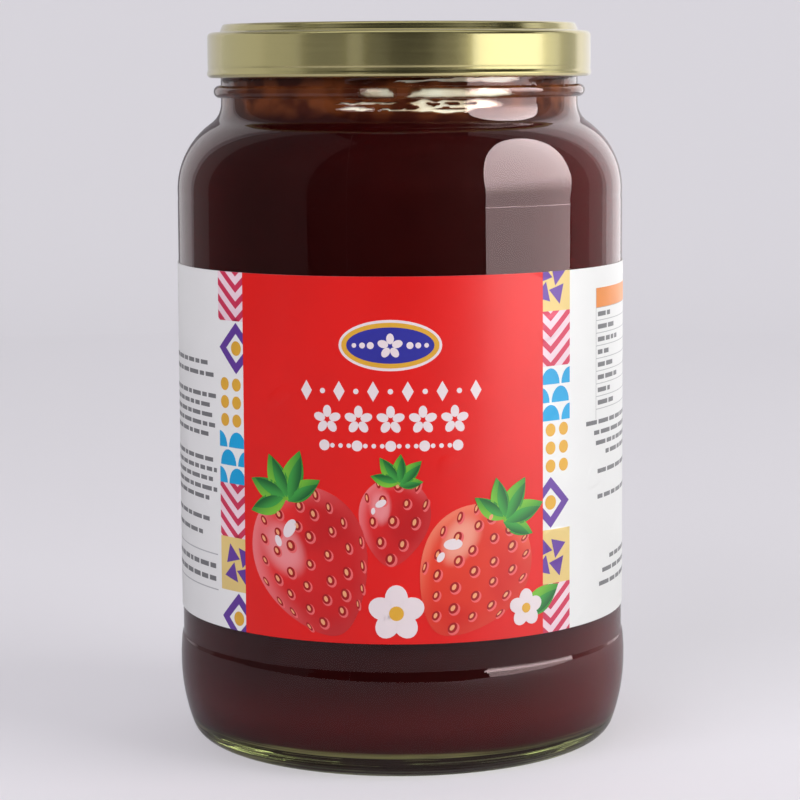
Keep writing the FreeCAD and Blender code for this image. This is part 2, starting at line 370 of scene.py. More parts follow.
# %% Outside of the jar
HEEL_LEVEL = 21.0
CREASE_START = 22.5
CREASE_LEAN = (0.36, 5.3)
STEP_LEVEL = 147.2
STEP_DEPTH = 0.07
BEAD_BEND = 1.673
RIM_BEND = 1.2


def lean_in(pen, radius, lean, bend):
    """Runs on upright, leans in by the first arc, then turns back upright in a tight S."""
    inward, upward = lean
    start = pen.tip.co.copy()
    knee = (start.x - inward, start.z + upward)
    first_bend = swell_bend(upward, inward)
    pen.arc(*knee, first_bend, "left", 8)
    tilt = math.asin(upward / first_bend)
    left_over = knee[0] - radius
    steep = math.acos((math.cos(tilt) + 1 - left_over / bend) / 2)
    middle = knee[0] - bend * (math.cos(tilt) - math.cos(steep))
    height = knee[1] + bend * (math.sin(steep) - math.sin(tilt))
    pen.arc(middle, height, bend, "left", 6)
    pen.arc(radius, height + bend * math.sin(steep), bend, "right", 6)


def step_in(pen, depth, bend):
    """Two tight arcs inwards by that depth, upright at both ends."""
    start = pen.tip.co.copy()
    half_run = bend * math.sin(math.acos(1 - depth / 2 / bend))
    pen.arc(start.x - depth / 2, start.z + half_run, bend, "left", 4)
    pen.arc(start.x - depth, start.z + 2 * half_run, bend, "right", 4)


def jar_outside():
    """From the middle of the underside up to the sealing rim."""
    pen = Outline(0, 4.6)
    pen.arc(47.46, 1.6, swell_bend(47.46, 3.0), "right", 12)
    pen.arc(50.46, 0, 8, "left", 4)
    pen.line(52.66, 0)
    pen.arc(58.30, 3.95, 6, "left", 10)
    pen.arc(heel_radius, HEEL_LEVEL, 50, "left", 10)
    pen.line(heel_radius, CREASE_START)
    lean_in(pen, panel_radius, CREASE_LEAN, 1.8)
    pen.line(panel_radius, pen.tip.co.z + 0.5)
    pen.line(panel_radius, STEP_LEVEL - 0.2, 12)
    pen.line(panel_radius, STEP_LEVEL)
    step_in(pen, STEP_DEPTH, 0.3)
    pen.line(panel_radius, shoulder_level, 2)
    pen.arc(
        panel_radius - shoulder_arc * (1 - math.cos(meeting)),
        shoulder_level + shoulder_arc * math.sin(meeting), shoulder_arc, "left", 16,
    )
    pen.arc(neck_radius, neck_foot, neck_arc, "right", 8)
    pen.line(neck_radius, neck_foot + 1.55)
    pen.arc(neck_radius + 1.95, neck_foot + 3.2, BEAD_BEND, "left", 8)
    pen.arc(neck_radius, neck_foot + 4.85, BEAD_BEND, "left", 8)
    pen.line(neck_radius, rim - RIM_BEND, 36)
    pen.arc(neck_radius - RIM_BEND, rim, RIM_BEND, "left", 5)
    return pen


# %% Inside of the jar
def follow_bore(pen, inset, top, rising, neck_cuts=10):
    """The jar's inside between its floor and that height, up or down, that far in from the
    outer surface. A piece that fills the jar follows it too."""
    ring = panel_radius - inset
    arc_in, arc_out = shoulder_arc - inset, neck_arc + inset
    corner = inside_corner - inset + wall
    floor = floor_level + inset - wall
    flat = panel_radius - wall - inside_corner
    stops = [
        (0, floor + floor_rise, None, None, 1),
        (flat, floor, swell_bend(flat, floor_rise), "right", 10),
        (ring, floor_level + inside_corner, corner, "left", 10),
        (ring, shoulder_level, None, None, 16),
        (
            panel_radius - shoulder_arc + arc_in * math.cos(meeting),
            shoulder_level + arc_in * math.sin(meeting), arc_in, "left", 16,
        ),
        (neck_radius - inset, neck_foot, arc_out, "right", neck_cuts),
        (neck_radius - inset, top, None, None, 2 * neck_cuts),
    ]
    flip = {"left": "right", "right": "left"}
    ways = zip(stops, stops[1:]) if rising else zip(stops[::-1], stops[-2::-1])
    for here, there in ways:
        bend, centre, cuts = there[2:] if rising else here[2:]
        if bend is None:
            pen.line(there[0], there[1], cuts)
        else:
            pen.arc(there[0], there[1], bend, centre if rising else flip[centre], cuts)


# %% Thread ridges
THREADS = 6
THREAD_SPAN = 54
THREAD_START = 43
THREAD_SLOPE = math.tan(math.radians(2.7))
THREAD_RADIUS = 1.3
THREAD_SINK = 0.1
THREAD_FADE = 4
THREAD_RISE = 7.95


def azimuth(place):
    """Degrees from the front, growing to the right."""
    return math.degrees(math.atan2(place.x, -place.y))


def raise_threads(bm):
    """Six short slanting ridges round the neck, made by moving the neck's surface outwards."""
    moved = 0
    for vert in bm.verts:
        outer = vert.co.xy.length > neck_radius - 0.01
        if not outer or not neck_foot + 5 < vert.co.z < rim - 1.5:
            continue
        along = (azimuth(vert.co) - THREAD_START) % (360 / THREADS)
        if along > THREAD_SPAN:
            continue
        climb = (along - THREAD_SPAN / 2) * neck_radius * math.radians(1) * THREAD_SLOPE
        offset = vert.co.z - neck_foot - THREAD_RISE - climb
        fade = swelling(along, 0, THREAD_FADE) * swelling(THREAD_SPAN - along, 0, THREAD_FADE)
        height = math.sqrt(max(THREAD_RADIUS**2 - offset**2, 0)) * fade - THREAD_SINK
        if height > 0:
            vert.co.xy *= 1 + height / vert.co.xy.length
            moved += 1
    print(f"thread ridges: {moved} points moved")


# %% The jar
jar_pen = jar_outside()
jar_pen.line(neck_radius - wall + RIM_BEND, rim, 2)
jar_pen.arc(neck_radius - wall, rim - RIM_BEND, RIM_BEND, "left", 5)
follow_bore(jar_pen, wall, rim - RIM_BEND, rising=False)
jar_bm = turned(jar_pen, 288)
raise_threads(jar_bm)
piece("jar_of_glass", jar_bm, glass, "glass_jar")

# %% [markdown]
# ## The jam
# Cooked strawberry jam is nearly black in this depth, and brown-orange in the neck. Redder jam by
# the heel and towards the sides is painted light, standing in for light that comes through, and
# the bright olive streaks at the jam's foot are painted light seen through the glass foot. It has
# to meet the glass, so it reaches a tenth of a millimetre into the wall. At the front of the neck
# air
# has crept down between jam and glass: there the surface steps back in wavy patches, with islands
# left, and the pale colour in them is a painted reflection.

# %% Where the air has crept in
JAM_REACH = 0.1
AIR_DEPTH = 1.2
AIR_POCKETS = [
    # middle in degrees from the front, height, half width in degrees, half height
    (-14.5, 171.9, 5.6, 0.55), (-10.0, 173.5, 9.5, 0.28), (-1.0, 171.6, 6.0, 0.30),
    (8.0, 172.6, 6.0, 1.8), (16.0, 172.4, 9.0, 1.9), (25.0, 173.2, 9.0, 1.1),
    (14.0, 176.5, 12.0, 0.55), (29.0, 176.5, 10.0, 0.6), (-7.0, 176.4, 5.0, 0.4),
    (6.0, 179.3, 8.0, 0.45), (20.0, 179.6, 10.0, 0.8), (34.0, 179.6, 8.0, 0.8),
]
AIR_ISLANDS = [
    (10.5, 173.3, 2.3, 0.42), (17.5, 173.3, 3.3, 0.42), (23.5, 173.4, 1.8, 0.35),
    (17.0, 172.0, 6.0, 0.32), (3.5, 172.5, 2.0, 0.9),
]


def spot(turn, height, spots):
    """1 inside the nearest of the soft oval spots, 0 outside all of them."""
    inside = 0.0
    for middle, level, half_width, half_height in spots:
        away = math.hypot((turn - middle) / half_width, (height - level) / half_height)
        inside = max(inside, 1 - swelling(away, 0.75, 1.15))
    return inside


def air_gap(place):
    """From 0, where the jam wets the glass, to 1, in the middle of an air pocket."""
    turn = azimuth(place)
    height = place.z + 0.35 * noise.noise(Vector((turn * 0.30, place.z * 0.5, 3.1)))
    turn += 1.4 * noise.noise(Vector((turn * 0.22, place.z * 0.9, 8.4)))
    return spot(turn, height, AIR_POCKETS) * (1 - spot(turn, height, AIR_ISLANDS))


# %% Jam finish
jam_finish = Finish("strawberry_jam", Roughness=0.5, Specular_IOR_Level=0.03)
jam_height = jam_finish.along("Z")
pulp = jam_finish.noise(160, 1.5)
jam_dark = jam_finish.blend(pulp, (0.0115, 0.0001, 0.0002), (0.0165, 0.0003, 0.0003))
jam_brown = jam_finish.blend(pulp.ramp(0.4, 0.65), (0.045, 0.008, 0.003), (0.13, 0.032, 0.010))
# Painted light: the jam is redder by the heel and towards the sides, more on the right, standing
# in for the key lamp and for light that comes through the jam.
painted_heel_light = jam_height.ramp(0.027, 0.013)
jam_with_heel_light = jam_finish.blend(painted_heel_light, jam_dark, (0.040, 0.0009, 0.0014))
jam_across = jam_finish.along("X")
painted_side_light = jam_across.ramp(0.026, 0.058).most(jam_across.ramp(-0.036, -0.060) * 0.6)
jam_with_side_light = jam_finish.blend(painted_side_light, jam_with_heel_light, (0.052, 0.0016, 0.0022))
# Painted light: bright olive streaks on the jam's lowest few millimetres stand in for light
# coming in through the thick glass foot.
foot_light_streaks = jam_finish.noise(1, 2.0, jam_finish.stretched(25, 25, 1600))
painted_foot_light = jam_finish.blend(foot_light_streaks.ramp(0.4, 0.6), (0.03, 0.024, 0.008), (0.30, 0.28, 0.12))
by_foot = jam_height.ramp(0.0072, 0.0058)
jam_low_part = jam_finish.blend(by_foot, jam_with_side_light, painted_foot_light)
in_neck = jam_height.ramp(0.167, 0.174)
jam_body = jam_finish.blend(in_neck, jam_low_part, jam_brown)
# Painted reflection: the pale colour in the air pockets stands in for the bright surroundings
# mirrored where glass meets air; each pocket also gets a lighter brown edge.
painted_air_reflection = jam_finish.blend(pulp.ramp(0.35, 0.65), (0.72, 0.60, 0.50), (0.88, 0.83, 0.77))
aired = jam_finish.attribute("air")
rimmed_jam = jam_finish.blend(aired.ramp(0.05, 0.4), jam_body, (0.13, 0.040, 0.012))
jam_finish.colour(jam_finish.blend(aired.ramp(0.35, 0.85), rimmed_jam, painted_air_reflection))
jam_finish.bump(pulp, 0.00015)

# %% The jam
_, jam_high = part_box("jam")
jam_top = jam_high.z / MM
jam_pen = Outline(0, floor_level + floor_rise - JAM_REACH)
follow_bore(jam_pen, wall - JAM_REACH, jam_top, rising=True, neck_cuts=22)
jam_pen.line(0, jam_top, 14)
jam_bm = turned(jam_pen, 480)
air = jam_bm.verts.layers.float.new("air")
for vert in jam_bm.verts:
    if vert.co.z < neck_foot - 8:
        continue
    if vert.co.xy.length > neck_radius - wall - 0.3:
        vert[air] = air_gap(vert.co)
        vert.co.xy *= 1 - vert[air] * AIR_DEPTH / vert.co.xy.length
    elif vert.co.z > jam_top - 0.01:
        vert.co.z -= 0.7 + 0.7 * noise.noise(vert.co * 0.08)
piece("jam_filling", jam_bm, jam_finish, "jam")

# %% [markdown]
# ## The lid
# A twist-off lid is pressed from thin lacquered tinplate: a rolled lower edge, a plain skirt,
# a narrow ledge, and a raised plate with a sunk middle and a safety button. The gold is a clear
# yellow lacquer over the tin, so the metal itself is coloured and the gloss on top is white.

# %% Gold lacquer
gold = Finish(
    "gold_lacquered_tin", Metallic=1.0, Coat_Roughness=0.12, Coat_Weight=1.0, Coat_IOR=1.8,
)
drawn = gold.noise(1, 2.0, gold.stretched(40, 40, 900))
orange_peel = gold.noise(700, 2.0)
gold.colour(gold.blend(drawn, (0.73, 0.635, 0.255), (0.78, 0.685, 0.28)))
gold.rough(drawn * 0.08 + 0.19)
gold.bump(orange_peel * 0.3 + drawn, 0.00001)

# %% The lid
lid_low, lid_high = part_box("lid")
lid_foot = lid_low.z / MM
lid_top = lid_high.z / MM
skirt = lid_high.x / MM
ledge = rim + 0.6
plate_edge = neck_radius + 0.15
tin = 0.5
sunk = lid_top - 0.9
button = sunk + 0.6


def lid_outline():
    """From the middle of the button out over the plate, down the skirt and back underneath."""
    pen = Outline(0, button)
    pen.line(9.6, button, 3)
    pen.arc(10.9, button - 0.1, 9, "right", 2)
    pen.line(12.4, sunk + 0.1)
    pen.arc(13.6, sunk, 6, "left", 2)
    pen.line(36.9, sunk, 6)
    pen.arc(37.9, sunk + 0.2, 3, "left", 3)
    pen.line(38.5, lid_top - 0.2)
    pen.arc(39.6, lid_top, 3, "right", 3)
    pen.line(plate_edge - 1.5, lid_top, 3)
    pen.arc(plate_edge - 0.55, lid_top - 0.75, 0.9, "right", 6)
    pen.line(plate_edge - 0.15, ledge + 0.45, 2)
    pen.arc(plate_edge + 0.3, ledge, 0.5, "left", 4)
    pen.line(skirt - 1.3, ledge, 2)
    pen.arc(skirt, ledge - 1.3, 1.3, "right", 8)
    pen.line(skirt, lid_foot + 3.4, 6)
    pen.arc(skirt - 0.08, lid_foot + 2.6, 5, "right", 3)
    pen.arc(skirt, lid_foot + 1.8, 4, "left", 3)
    pen.arc(skirt - 0.9, lid_foot, 1.15, "right", 8)
    pen.arc(skirt - 1.8, lid_foot + 1, 1, "right", 6)
    pen.arc(skirt - 0.9, lid_foot + 2, 1, "right", 6)
    pen.line(skirt - tin, lid_foot + 2.4)
    pen.line(skirt - tin, ledge - 1.3, 3)
    pen.arc(skirt - 1.3, ledge - tin, 0.8, "left", 4)
    pen.line(neck_radius, ledge - tin)
    pen.line(neck_radius, rim)
    pen.line(neck_radius - 4.2, rim)
    pen.line(neck_radius - 4.2, lid_top - tin)
    pen.line(39, lid_top - tin, 2)
    pen.line(37.5, sunk - tin)
    pen.line(13, sunk - tin, 4)
    pen.line(10.5, button - tin)
    pen.line(0, button - tin, 3)
    return pen


gold_lid = piece("gold_lid", turned(lid_outline(), 256), gold, "lid")

# %% [markdown]
# ## The label
# The label is one sheet of coated paper, glued round the panel and open for 15 mm at the back.
# It is drawn flat first: u runs to the right from the front, v up from the label's foot.
# Then every point is wrapped round the jar. Each ink is a thin closed shape of its own, cut at
# the same columns as the paper, so that print and paper bend at the same lines and stay parallel.

# %% Paper sizes
label_low, label_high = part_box("label")
paper_radius = label_high.x / MM
paper_sheet = 0.2
paper_foot = label_low.z / MM
paper_height = label_high.z / MM - paper_foot
paper_reach = (math.tau * paper_radius - 15) / 2
COLUMN = 1.5
INK = 0.018
print(f"label {2 * paper_reach:.1f} by {paper_height:.1f} mm")


# %% Wrapping
def cut_columns(bm):
    """Cuts a flat shape at every column that it crosses."""
    places = [vert.co.x for vert in bm.verts]
    first = math.ceil(min(places) / COLUMN)
    last = math.floor(max(places) / COLUMN)
    for column in range(first, last + 1):
        geometry = bm.verts[:] + bm.edges[:] + bm.faces[:]
        bmesh.ops.bisect_plane(
            bm, geom=geometry, dist=0.0001, plane_co=(column * COLUMN, 0, 0), plane_no=(1, 0, 0)
        )


def thicken(bm, low, high):
    """Turns flat faces into a closed slab between two heights above the paper."""
    bmesh.ops.translate(bm, vec=(0, 0, low), verts=bm.verts)
    lifted = bmesh.ops.extrude_face_region(bm, geom=bm.faces[:])["geom"]
    verts = [part for part in lifted if isinstance(part, bmesh.types.BMVert)]
    bmesh.ops.translate(bm, vec=(0, 0, high - low), verts=verts)


def wrap(bm):
    """Bends the flat label round the jar."""
    for vert in bm.verts:
        angle = vert.co.x / paper_radius
        ring = paper_radius + vert.co.z
        height = paper_foot + vert.co.y
        vert.co = Vector((ring * math.sin(angle), -ring * math.cos(angle), height))


# %% [markdown]
# ## Paper and ink
# Coated paper is slightly warm white with a satin gloss and a very fine tooth. Offset ink
# lies on it as a thin layer: a little glossier, with faint cloudiness in the large fields. Tiny
# bubbles of air under the glue lift the sheet here and there.

# %% Paper and ink finishes
PAPER_WHITE = (0.80, 0.80, 0.785)
TOOTH_SCALE = 2600
PICTURE_TOOTH_DEPTH = 0.000005


def printed(name, colour, cloud=0.06, roughness=0.36):
    """Ink or bare paper: clouded colour, fine tooth and a few glue bubbles."""
    finish = Finish(name, Roughness=roughness, Specular_IOR_Level=0.5)
    clouds = finish.noise(55, 4.0)
    darker = tuple(value * (1 - cloud) for value in colour)
    lighter = tuple(min(value * (1 + cloud), 1) for value in colour)
    finish.colour(finish.blend(clouds.ramp(0.3, 0.7), darker, lighter))
    finish.rough(finish.noise(90, 2.0) * 0.08 + (roughness - 0.04))
    tooth = finish.noise(TOOTH_SCALE, 2.0)
    bubbles = finish.noise(75, 0.0).ramp(0.74, 0.80)
    finish.bump(tooth * 0.04 + bubbles, 0.00012)
    return finish


paper = printed("coated_paper", PAPER_WHITE, 0.012, 0.42)
paper_bm = bmesh.new()
bmesh.ops.create_grid(paper_bm, x_segments=1, y_segments=1, size=1)
bmesh.ops.translate(paper_bm, vec=(0, 1, 0), verts=paper_bm.verts)
bmesh.ops.scale(paper_bm, vec=(paper_reach, paper_height / 2, 1), verts=paper_bm.verts)
cut_columns(paper_bm)
thicken(paper_bm, -paper_sheet, 0)
wrap(paper_bm)
piece("paper_label", paper_bm, paper, "label")


# %% [markdown]
# ## Printing shapes
# A print collects shapes of one ink. A shape starts as a circle or a grid, is turned, stretched
# and put in its place, may be clipped to a box, and is then cut at the columns. It also keeps
# where each point lay on the untouched shape, so that an ink can shade from middle to edge.


# %% A print
class Print:
    """Shapes of one ink at one height above the paper."""

    def __init__(self, name, layer):
        self.name = name
        self.layer = layer
        self.bm = bmesh.new()

    def add(self, shape, clip=None):
        """Clips a flat shape to a box (u, v, u, v), cuts it, and makes it a closed slab."""
        low_u, low_v, high_u, high_v = clip or (-paper_reach, 0, paper_reach, paper_height)
        edges = [
            ((low_u, 0), (-1, 0)), ((high_u, 0), (1, 0)),
            ((0, low_v), (0, -1)), ((0, high_v), (0, 1)),
        ]
        for place, out in edges:
            bmesh.ops.bisect_plane(
                shape, geom=shape.verts[:] + shape.edges[:] + shape.faces[:], dist=0.0001,
                plane_co=(*place, 0), plane_no=(*out, 0), clear_outer=True,
            )
        if not shape.faces:
            shape.free()
            return
        cut_columns(shape)
        thicken(shape, -INK, self.layer * INK)
        mesh = bpy.data.meshes.new("shape")
        shape.to_mesh(mesh)
        shape.free()
        self.bm.from_mesh(mesh)
        bpy.data.meshes.remove(mesh)

    def finish(self, ink):
        """Wraps all its shapes round the jar as one piece."""
        wrap(self.bm)
        piece(self.name, self.bm, ink)


# %% Flat shapes
def put(shape, u, v, half_width, half_height, turn=0.0, narrowing=None):
    """Keeps the shape's own coordinates, may narrow it by them, then stretches, turns and
    places it."""
    own = [shape.verts.layers.float.new(name) for name in ("own_across", "own_up")]
    for vert in shape.verts:
        vert[own[0]] = vert.co.x
        vert[own[1]] = vert.co.y
        if narrowing:
            vert.co.x *= narrowing(vert.co.y)
    bmesh.ops.scale(shape, vec=(half_width, half_height, 1), verts=shape.verts)
    turning = Matrix.Rotation(math.radians(turn), 3, "Z")
    bmesh.ops.rotate(shape, cent=(0, 0, 0), matrix=turning, verts=shape.verts)
    bmesh.ops.translate(shape, vec=(u, v, 0), verts=shape.verts)
    return shape


def box(u, v, half_width, half_height, turn=0.0):
    shape = bmesh.new()
    bmesh.ops.create_grid(shape, x_segments=1, y_segments=1, size=1)
    return put(shape, u, v, half_width, half_height, turn)


def oval(u, v, half_width, half_height, turn=0.0, sides=24, narrowing=None):
    """An ellipse, or with few sides a lozenge or a triangle."""
    shape = bmesh.new()
    bmesh.ops.create_circle(shape, cap_ends=True, radius=1, segments=sides)
    return put(shape, u, v, half_width, half_height, turn, narrowing)


def dot(u, v, radius, sides=24):
    return oval(u, v, radius, radius, 0, sides)


def petal(u, v, half_length, half_width, turn):
    """A leaf shape along its own x: blunt at the foot, pointed at the tip."""
    shape = bmesh.new()
    bmesh.ops.create_circle(shape, cap_ends=True, radius=1, segments=28)
    for vert in shape.verts:
        vert.co.y *= (1 - vert.co.x**2) ** 0.5 if abs(vert.co.x) < 1 else 0
        vert.co.y *= 1 - 0.25 * vert.co.x
    return put(shape, u, v, half_length, half_width, turn)


def ring(u, v, radius, inner, sides=32):
    """A round or cornered band: two circles with a bridge between them."""
    shape = bmesh.new()
    for size in (1, inner / radius):
        bmesh.ops.create_circle(shape, cap_ends=False, radius=size, segments=sides)
    bmesh.ops.bridge_loops(shape, edges=shape.edges[:])
    return put(shape, u, v, radius, radius)


def towards(angle):
    """A step of 1 on the flat label, that many degrees round from u."""
    return Vector((math.cos(math.radians(angle)), math.sin(math.radians(angle))))


# %% [markdown]
# ## Red field and tile bands
# The middle of the label is one red field, with a band of small tiles down each side of it. The
# tiles are plain ornaments that any tile maker cuts: lozenges, chevrons, dots, scallops and
# triangles, in purple, yellow, blue and pink on white.

# %% Red field
FIELD = (-44.6, 39.05)
BAND_WIDTH = 9.75
red_ink = printed("red_ink", (0.72, 0.007, 0.005), 0.03, 0.34)
red_field = Print("print_red_field", 1)
field_middle = sum(FIELD) / 2
field_half = (FIELD[1] - FIELD[0]) / 2
red_field.add(box(field_middle, paper_height / 2, field_half, paper_height / 2))
red_field.finish(red_ink)

# %% Inks of the tiles
TILE = 14.2
TILE_INKS = {
    # layer above the paper, colour
    "purple": (3, (0.115, 0.038, 0.29)), "yellow": (2, (0.70, 0.375, 0.035)),
    "sand": (1, (0.74, 0.55, 0.20)), "blue": (2, (0.003, 0.345, 0.66)),
    "pink": (2, (0.58, 0.028, 0.085)), "blush": (1, (0.83, 0.63, 0.69)),
}
tile_inks = {}
tile_prints = {}
for name, (layer, colour) in TILE_INKS.items():
    tile_inks[name] = printed(f"{name}_ink", colour)
    tile_prints[name] = Print(f"print_tiles_{name}", layer)
yellow_ink = tile_inks["yellow"]


# %% Tiles
def tile_chevrons(middle, level, clip):
    tile_prints["blush"].add(box(middle, level, TILE / 2, TILE / 2), clip)
    for row in range(-3, 4):
        for side in (-1, 1):
            place = middle + side * TILE / 4
            bar = box(place, level + row * 4.2, TILE * 0.37, 0.75, side * 40)
            tile_prints["pink"].add(bar, clip)


def tile_lozenge(middle, level, clip):
    tile_prints["purple"].add(ring(middle, level, TILE * 0.47, TILE * 0.27, 4), clip)
    tile_prints["yellow"].add(dot(middle, level, 1.9), clip)


def tile_dots(middle, level, clip):
    for row in range(-1, 2):
        for column in range(-1, 2):
            round_one = dot(middle + column * 4.7, level + row * 4.7, 1.7)
            tile_prints["yellow"].add(round_one, clip)


def tile_scallops(middle, level, clip):
    for row in range(3):
        for column in range(-1, 2):
            place = middle + (column + 0.5 * (row % 2)) * TILE / 2
            foot = level - TILE / 2 + row * TILE / 3
            rise = TILE / 3 - 0.6
            cap = (clip[0], foot, clip[2], min(foot + rise, clip[3]))
            tile_prints["blue"].add(oval(place, foot, TILE / 4 - 0.35, rise), cap)


def tile_triangles(middle, level, clip):
    tile_prints["sand"].add(box(middle, level, TILE / 2, TILE / 2), clip)
    for corner in range(4):
        turn = 90 * corner + 45
        place = Vector((middle, level)) + towards(turn) * 3.4
        tile_prints["purple"].add(oval(*place, 3.1, 3.1, turn, 3), clip)


# %% Laying the bands
def lay_band(low_u, middle, tiles, top):
    """Tiles from the top down, clipped to the band."""
    for number, tile in enumerate(tiles):
        level = top - TILE / 2 - number * TILE
        clip = (
            low_u, max(level - TILE / 2, 0),
            low_u + BAND_WIDTH, min(level + TILE / 2, paper_height),
        )
        if clip[3] > clip[1]:
            tile(middle, level, clip)


left_tiles = [
    tile_chevrons, tile_lozenge, tile_dots, tile_scallops, tile_chevrons, tile_triangles,
    tile_lozenge,
]
right_tiles = [
    tile_triangles, tile_chevrons, tile_scallops, tile_dots, tile_lozenge, tile_triangles,
    tile_chevrons,
]
lay_band(FIELD[0] - BAND_WIDTH, FIELD[0] - BAND_WIDTH + TILE / 2, left_tiles, 95.5)
lay_band(FIELD[1], FIELD[1] + BAND_WIDTH - TILE / 2, right_tiles, 98)
for name, tile_print in tile_prints.items():
    tile_print.finish(tile_inks[name])

# %% [markdown]
# ## Emblem and ornament rows
# Where a jam's name would stand there is a small oval emblem and three centred rows of white
# ornaments: lozenges, bold blossoms and dots. They keep the weight of a title without a letter.

# %% Blossoms
white_ink = printed("white_ink", (0.80, 0.70, 0.71), 0.02)
navy_ink = printed("navy_ink", (0.028, 0.028, 0.30))


def blossom(ink_print, u, v, radius, reach=0.58, length=0.42, width=0.30, sides=14):
    """Five petals round a middle that stays open, each sized as a share of the radius."""
    for number in range(5):
        angle = 72 * number + 90
        place = Vector((u, v)) + towards(angle) * radius * reach
        ink_print.add(oval(*place, radius * length, radius * width, angle, sides))


# %% Title place
TITLE_MIDDLE = -2.7
EMBLEM_LEVEL = 76.6
EMBLEM_FIELDS = [
    # name, layer, half width, half height, ink
    ("back", 2, 13.2, 6.5, white_ink), ("ochre", 3, 12.5, 5.8, yellow_ink),
    ("navy", 4, 11.2, 4.6, navy_ink),
]
for name, layer, half_width, half_height, ink in EMBLEM_FIELDS:
    emblem_field = Print(f"print_emblem_{name}", layer)
    emblem_field.add(oval(TITLE_MIDDLE, EMBLEM_LEVEL, half_width, half_height, 0, 48))
    emblem_field.finish(ink)
emblem_marks = Print("print_emblem_marks", 5)
blossom(emblem_marks, TITLE_MIDDLE, EMBLEM_LEVEL - 0.2, 3.3)
for side in (-1, 1):
    for step in range(3):
        place = TITLE_MIDDLE + side * (5.0 + step * 2.1)
        emblem_marks.add(dot(place, EMBLEM_LEVEL, 0.9 - 0.15 * step, 16))
emblem_marks.finish(white_ink)

# %% Ornament rows
rows = Print("print_ornament_rows", 2)
for step in range(-5, 6):
    half_width, half_height, sides = (1.5, 2.6, 4) if step % 2 else (0.7, 0.7, 16)
    rows.add(oval(TITLE_MIDDLE + step * 4.4, 64.9, half_width, half_height, 0, sides))
for step in range(-2, 3):
    blossom(rows, TITLE_MIDDLE + step * 8.2, 57.6, 3.7)
for step in range(-8, 9):
    rows.add(dot(TITLE_MIDDLE + step * 2.15, 51.0, 0.6 if step % 4 else 1.4, 16))
rows.finish(white_ink)

# %% [markdown]
# ## Printed berries
# The fruit picture is a group of three whole strawberries with leaves and two blossoms. A
# berry is a circle pulled in towards its tip. Its ink shades from its own coordinates: deep red
# in the body, pink along the lit edge, a soft pale patch on the upper left. The pips sit in
# rows like lines of latitude, drawn together towards the edges as on a real round berry.

# %% Berry finish
def berry_ink(name, deep, bright, glow, haze):
    """Ink that shades a berry from its own coordinates, -1 to 1 each way."""
    finish = Finish(name, Roughness=0.34)
    across, up = finish.attribute("own_across"), finish.attribute("own_up")
    edge = (across * across + up * up).ramp(0.45, 1.0)
    lit = (across * -0.55 + up * 0.6).ramp(-0.25, 0.75)
    cloud = finish.noise(60, 2.0).ramp(0.35, 0.65)
    body = finish.blend(lit * 0.6 + cloud * 0.4, deep, bright)
    rimmed = finish.blend(edge * (lit * 0.8 + 0.08), body, glow)
    patch_u, patch_v = (across + 0.42) / 0.34, (up - 0.30) / 0.42
    patch = (patch_u * patch_u + patch_v * patch_v).ramp(1.2, 0.1)
    finish.colour(finish.blend(patch * 0.75, rimmed, haze))
    finish.bump(finish.noise(TOOTH_SCALE, 2.0), PICTURE_TOOTH_DEPTH)
    return finish


# %% Berries
BERRIES = [
    # middle u and v, half width, half length, turn in degrees, ink
    (-2.0, 31.5, 11.0, 11.5, -6, "crimson"),
    (-24.0, 20.5, 19.5, 20.0, 24, "crimson"),
    (18.5, 18.0, 18.0, 18.0, -32, "scarlet"),
]
berry_inks = {
    "crimson": berry_ink(
        "crimson_berry_ink", (0.50, 0.006, 0.008), (0.76, 0.016, 0.016), (0.82, 0.20, 0.21),
        (0.86, 0.33, 0.34),
    ),
    "scarlet": berry_ink(
        "scarlet_berry_ink", (0.62, 0.016, 0.008), (0.82, 0.060, 0.022), (0.86, 0.22, 0.13),
        (0.90, 0.42, 0.30),
    ),
}
pit_ink = printed("pit_ink", (0.34, 0.004, 0.006))
shine_ink = printed("shine_ink", (0.80, 0.13, 0.13))
pip_ink = printed("pip_ink", (0.84, 0.36, 0.17))
chance = random.Random(11)
shines = Print("print_pip_shines", 0)
pits = Print("print_pits", 0)
pips = Print("print_pips", 0)


def berry_width(up):
    """Narrows a circle towards its tip, which points down."""
    return 0.82 + 0.20 * up - 0.10 * up * up


def draw_berry(number, layer):
    """Body, then pips in rows, each with a pit and a bright lip."""
    u, v, half_width, half_length, turn, ink = BERRIES[number]
    body = Print(f"print_berry_{number + 1}", layer)
    body.add(oval(u, v, half_width, half_length, turn, 72, berry_width))
    body.finish(berry_inks[ink])
    shines.layer = layer + 1
    pits.layer = layer + 2
    pips.layer = layer + 3
    place_pips(u, v, half_width, half_length, turn)


# %% Pips
PIP_STEP = 5.6
PIP_REACH = 68
PIP_ROWS = (-64, 58)


def place_pips(u, v, half_width, half_length, turn):
    """Rows of latitude an even step apart, with every second row shifted by half a step."""
    turning = Matrix.Rotation(math.radians(turn), 2)
    row_step = math.degrees(PIP_STEP / half_length)
    first_row = math.ceil(PIP_ROWS[0] / row_step)
    last_row = math.floor(PIP_ROWS[1] / row_step)
    for row in range(first_row, last_row + 1):
        latitude = row * row_step
        shrink = math.cos(math.radians(latitude)) * berry_width(math.sin(math.radians(latitude)))
        step = math.degrees(PIP_STEP * 1.08 / (half_width * shrink))
        for column in range(-8, 9):
            longitude = (column + 0.5 * (row % 2)) * step
            if abs(longitude) > PIP_REACH:
                continue
            longitude += chance.uniform(-3, 3)
            up = math.sin(math.radians(latitude + chance.uniform(-2.5, 2.5)))
            across = math.sin(math.radians(longitude)) * shrink
            thin = max(math.cos(math.radians(longitude)), 0.42)
            place = turning @ Vector((across * half_width, up * half_length))
            size = chance.uniform(0.9, 1.1)
            draw_pip(u + place.x, v + place.y, size, thin, turn - longitude * 0.25)


